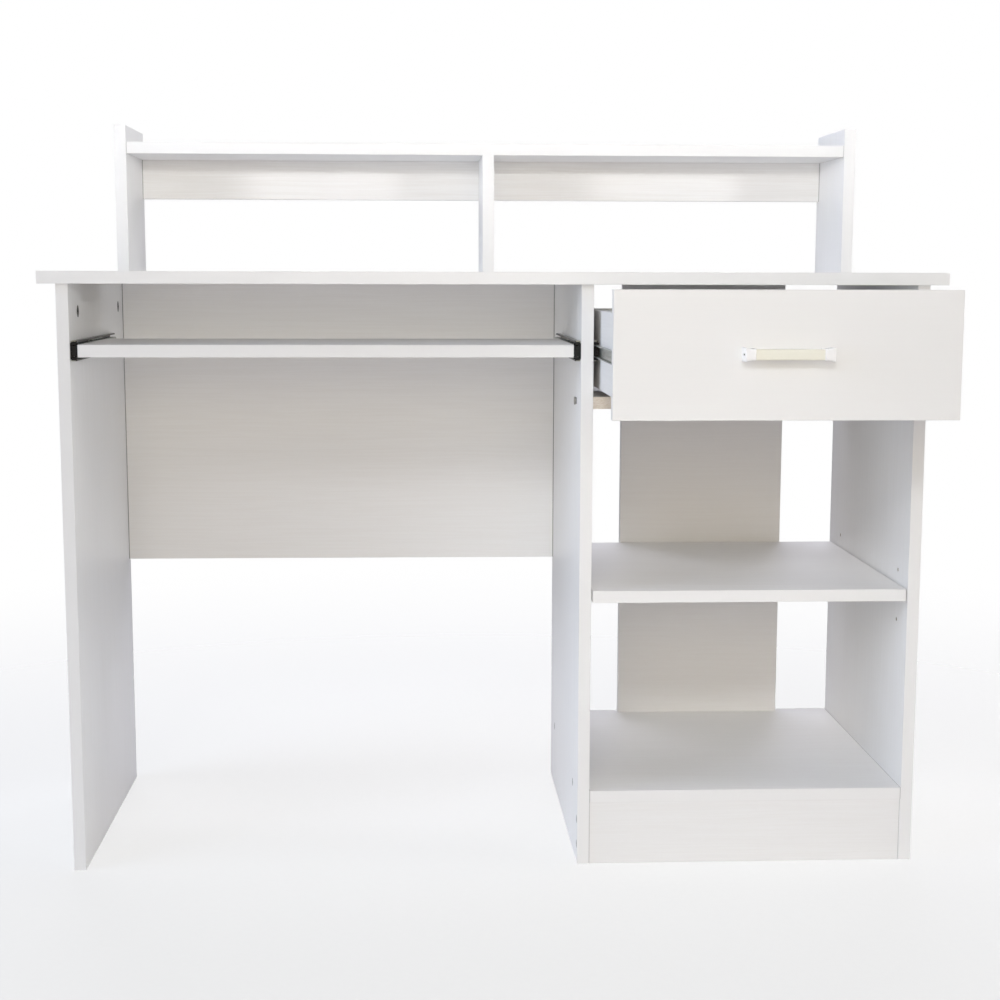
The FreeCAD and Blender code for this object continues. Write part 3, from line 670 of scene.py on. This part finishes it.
# The four slides: one rail and runner drawn for the tray and one for the drawer, as long as each needs,
# copied to both sides, punched and screwed, then finished
carried_boards = {"tray": "keyboard_tray", "drawer": "drawer_side_left"}
for slide, carried in carried_boards.items():
    carried_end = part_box(carried)[1].y
    lo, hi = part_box(slide + "_rail_left")
    rail = rolled_channel("rail", section(rail_line, lo.y), hi.y - lo.y)
    lo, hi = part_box(slide + "_runner_left")
    runner = rolled_channel("runner", section(runner_line, lo.y), hi.y - lo.y)
    for side in ("left", "right"):
        mirrored = side == "right"
        rail_node = slide + "_rail_" + side
        runner_node = slide + "_runner_" + side
        guide_node = slide + "_guide_" + side
        own_rail = copy_to(rail, rail_node + "_channel", rail_node, mirrored)
        own_runner = copy_to(runner, runner_node + "_channel", runner_node, mirrored)
        own_guide = copy_to(guide, guide_node + "_nose", guide_node, mirrored)

        lo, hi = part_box(rail_node)
        middle = (lo + hi) / 2
        screws = (lo.y + rail_end_screw * MM, middle.y, hi.y - rail_end_screw * MM)
        for y in screws:
            drill(own_rail, (middle.x, y, middle.z), screw_hole)
        for y in ((screws[0] + screws[1]) / 2, (screws[1] + screws[2]) / 2):
            drill(own_rail, (middle.x, y, middle.z), punched_hole)

        lo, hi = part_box(runner_node)
        middle = (lo + hi) / 2
        first = lo.y + runner_front_screw * MM
        last = carried_end - runner_rear_screw * MM
        for y in (first, first + runner_screw_pitch * MM, last):
            drill(own_runner, (middle.x, y, middle.z), screw_hole)

        settle(own_rail, zinc_sheet, "desk", rail_node)
        settle(own_runner, zinc_sheet, slide, runner_node)
        # The rail's mouth, lips and bends are painted near-black: painted shade where the mouth lies in
        # shadow
        line_with(own_rail, painted_shade_steel, in_race(rail_node, mirrored))
        # The runner's cut front end is painted near-black too: painted shade
        line_with(own_runner, painted_shade_steel, at_front(runner_node))
        settle(own_guide, black_plastic, "desk", guide_node)
    bpy.data.objects.remove(rail)
    bpy.data.objects.remove(runner)
bpy.data.objects.remove(guide)

# Handle: two flared posts with a strip let into them
strip_lo, strip_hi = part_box("handle_strip")
strip = block("handle_strip_extruded", strip_lo, strip_hi)
bpy.ops.object.mode_set(mode="EDIT")
pick(strip, "EDGE", lambda edge: abs(edge.verts[0].co.x - edge.verts[1].co.x) > hair)
bpy.ops.mesh.bevel(offset=strip_round * MM, segments=round_steps, affect="EDGES")
bpy.ops.object.mode_set(mode="OBJECT")
settle(strip, ivory_plastic, "drawer", "handle_strip")

for node, inward in (("handle_post_left", 1.0), ("handle_post_right", -1.0)):
    lo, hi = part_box(node)
    middle = (lo + hi) / 2
    width = hi.x - lo.x
    outer = lo.x if inward > 0 else hi.x
    post = block(node + "_moulded", lo, hi)

    # Rings across the post, drawn in from the flared outer end to the strip
    bpy.ops.object.mode_set(mode="EDIT")
    waist = (strip_hi.z - strip_lo.z + 2 * post_wall * MM) / (hi.z - lo.z)
    for share in post_rings:
        ring = outer + inward * share * width
        if share < 1.0:
            bpy.ops.mesh.select_all(action="SELECT")
            bpy.ops.mesh.bisect(plane_co=(ring, middle.y, middle.z), plane_no=(1.0, 0.0, 0.0))
        pick(post, "VERT", lambda corner: abs(corner.co.x - ring) < hair)
        height = waist + (1.0 - waist) * (1.0 - share) ** 2
        bpy.ops.transform.resize(value=(1.0, 1.0, height), center_override=(ring, middle.y, middle.z))

    # Rounded front, eased rim at the outer end
    pick(post, "EDGE", lambda edge: all(corner.co.y < lo.y + hair for corner in edge.verts)
         and (abs(edge.verts[0].co.x - edge.verts[1].co.x) > hair
              or all(abs(abs(corner.co.x - middle.x) - width / 2) < hair for corner in edge.verts)))
    bpy.ops.mesh.bevel(offset=post_round * MM, segments=round_steps, affect="EDGES")
    long_edge = 4 * post_round * MM
    pick(post, "EDGE", lambda edge: all(abs(corner.co.x - outer) < hair for corner in edge.verts)
         and abs(edge.verts[0].co.y - edge.verts[1].co.y) > long_edge)
    bpy.ops.mesh.bevel(offset=post_rim * MM, segments=ease_steps, affect="EDGES")
    bpy.ops.object.mode_set(mode="OBJECT")

    # Pocket for the strip's end, and in the outer side a shallow slot whose faces are painted near-black:
    # painted shade standing for the darkness of the pin's hole; the slot's block is centred on that side, so
    # it gets its depth both ways
    gap = Vector((pocket_gap * MM,) * 3)
    combine(post, block("pocket", strip_lo - gap, strip_hi + gap), "DIFFERENCE")
    slot_half = Vector(pin_slot) * MM / 2
    slot_half.x *= 2.0
    slot_middle = Vector((outer, lo.y + pin_setback * MM, middle.z))
    combine(post, block("slot", slot_middle - slot_half, slot_middle + slot_half), "DIFFERENCE")
    settle(post, white_plastic, "drawer", node)
    # The slot's faces take the near-black painted shade
    line_with(post, painted_shade_steel, lambda face: all(
        all(abs(corner.co[axis] - slot_middle[axis]) < slot_half[axis] + hair for axis in (X, Y, Z))
        for corner in face.verts))

# Floor
bpy.ops.object.select_all(action="DESELECT")
bpy.ops.mesh.primitive_plane_add(size=2 * floor_end, location=(0.0, 0.0, 0.0))
floor = bpy.context.object
floor.name = "studio_floor"
floor.data.materials.append(floor_paint)

# Light: a white room all round that fills dimly, soft lights round the desk, and narrow ones into its bays
room_fill = linear("555357")
room_white = linear("FFFFFF")
world = bpy.data.worlds.new("white_studio")
world.use_nodes = True
bpy.context.scene.world = world
seen = add(world.node_tree, "LightPath", {})
room = add(world.node_tree, "Mix", {0: seen.outputs["Is Camera Ray"], MIX_A: room_fill, MIX_B: room_white},
           data_type="RGBA")
feed(world.node_tree, world.node_tree.nodes["Background"], {"Color": room.outputs[MIX_OUT]})


def softbox(name, place, aim, width, height, spread, watts, tint):
    """Hang a soft rectangular light at a place, looking at a point; its spread is in degrees."""
    bpy.ops.object.light_add(type="AREA", location=place)
    lamp = bpy.context.object
    lamp.name = name
    lamp.rotation_euler = (Vector(aim) - Vector(place)).to_track_quat("-Z", "Y").to_euler()
    lamp.data.shape = "RECTANGLE"
    lamp.data.size = width
    lamp.data.size_y = height
    lamp.data.spread = math.radians(spread)
    lamp.data.energy = watts
    lamp.data.color = linear(tint)[:3]
    lamp.visible_camera = False


# Spreads in degrees, and points that the lights look at
wide = 180.0
narrow = 24.0
slit = 12.0
desk_middle = (0.0, 0.0, 0.5)
under_desktop = (0.0, 0.0, 0.6)
desk_front = (0.0, -0.1, 0.6)
hutch_right_half = (0.2, 0.2, 0.95)
hutch_left_half = (-0.2, 0.2, 0.95)
left_panel_face = (-0.53, -0.05, 0.45)
pedestal_middle = (0.33, 0.1, 0.3)

softbox("left_softbox", place=(-3.6, -1.6, 1.6), aim=desk_middle, width=3.0, height=3.0,
        spread=wide, watts=104.0, tint="DDEAFF")
softbox("right_softbox", place=(3.6, -0.35, 1.5), aim=desk_front, width=1.4, height=2.4,
        spread=wide, watts=61.0, tint="FFFFFF")
softbox("eye_softbox", place=(-0.1, -2.8, 1.0), aim=under_desktop, width=1.4, height=0.6,
        spread=wide, watts=12.4, tint="FFEFC8")
softbox("low_softbox", place=(0.0, -3.2, 0.4), aim=desk_middle, width=3.0, height=0.6,
        spread=wide, watts=7.0, tint="FFE4DA")
softbox("rear_softbox", place=(0.0, 2.6, 2.2), aim=under_desktop, width=3.0, height=1.6,
        spread=wide, watts=58.0, tint="F3F3FF")
softbox("hutch_left_softbox", place=(-2.0, -2.1, 1.15), aim=hutch_right_half, width=1.8, height=0.1,
        spread=slit, watts=0.72, tint="FFFFFF")
softbox("hutch_right_softbox", place=(1.8, -2.3, 1.15), aim=hutch_left_half, width=1.8, height=0.1,
        spread=slit, watts=0.6, tint="FFFFFF")
softbox("kneehole_softbox", place=(2.6, -1.5, 0.9), aim=left_panel_face, width=0.8, height=0.5,
        spread=narrow, watts=0.25, tint="FFFFFF")
softbox("pedestal_softbox", place=(-0.3, -3.0, 1.9), aim=pedestal_middle, width=1.0, height=0.4,
        spread=narrow, watts=0.75, tint="FFFFFF")

# Camera at the photograph's viewing angle
bpy.ops.object.camera_add()
camera = bpy.context.object
camera.name = "camera"
turn = Matrix.Rotation(math.radians(camera_yaw), 4, "Z")
tilt = Matrix.Rotation(math.radians(90.0 - camera_pitch), 4, "X")
roll = Matrix.Rotation(math.radians(camera_roll), 4, "Z")
camera.matrix_world = Matrix.Translation(camera_place) @ turn @ tilt @ roll
camera.data.sensor_width = sensor_width
camera.data.lens = sensor_width * focal_px / frame_px
camera.data.shift_y = (centre_row_px - frame_px / 2) / frame_px
bpy.context.scene.camera = camera
bpy.context.scene.view_settings.view_transform = "Standard"
bpy.context.scene.view_settings.gamma = view_gamma
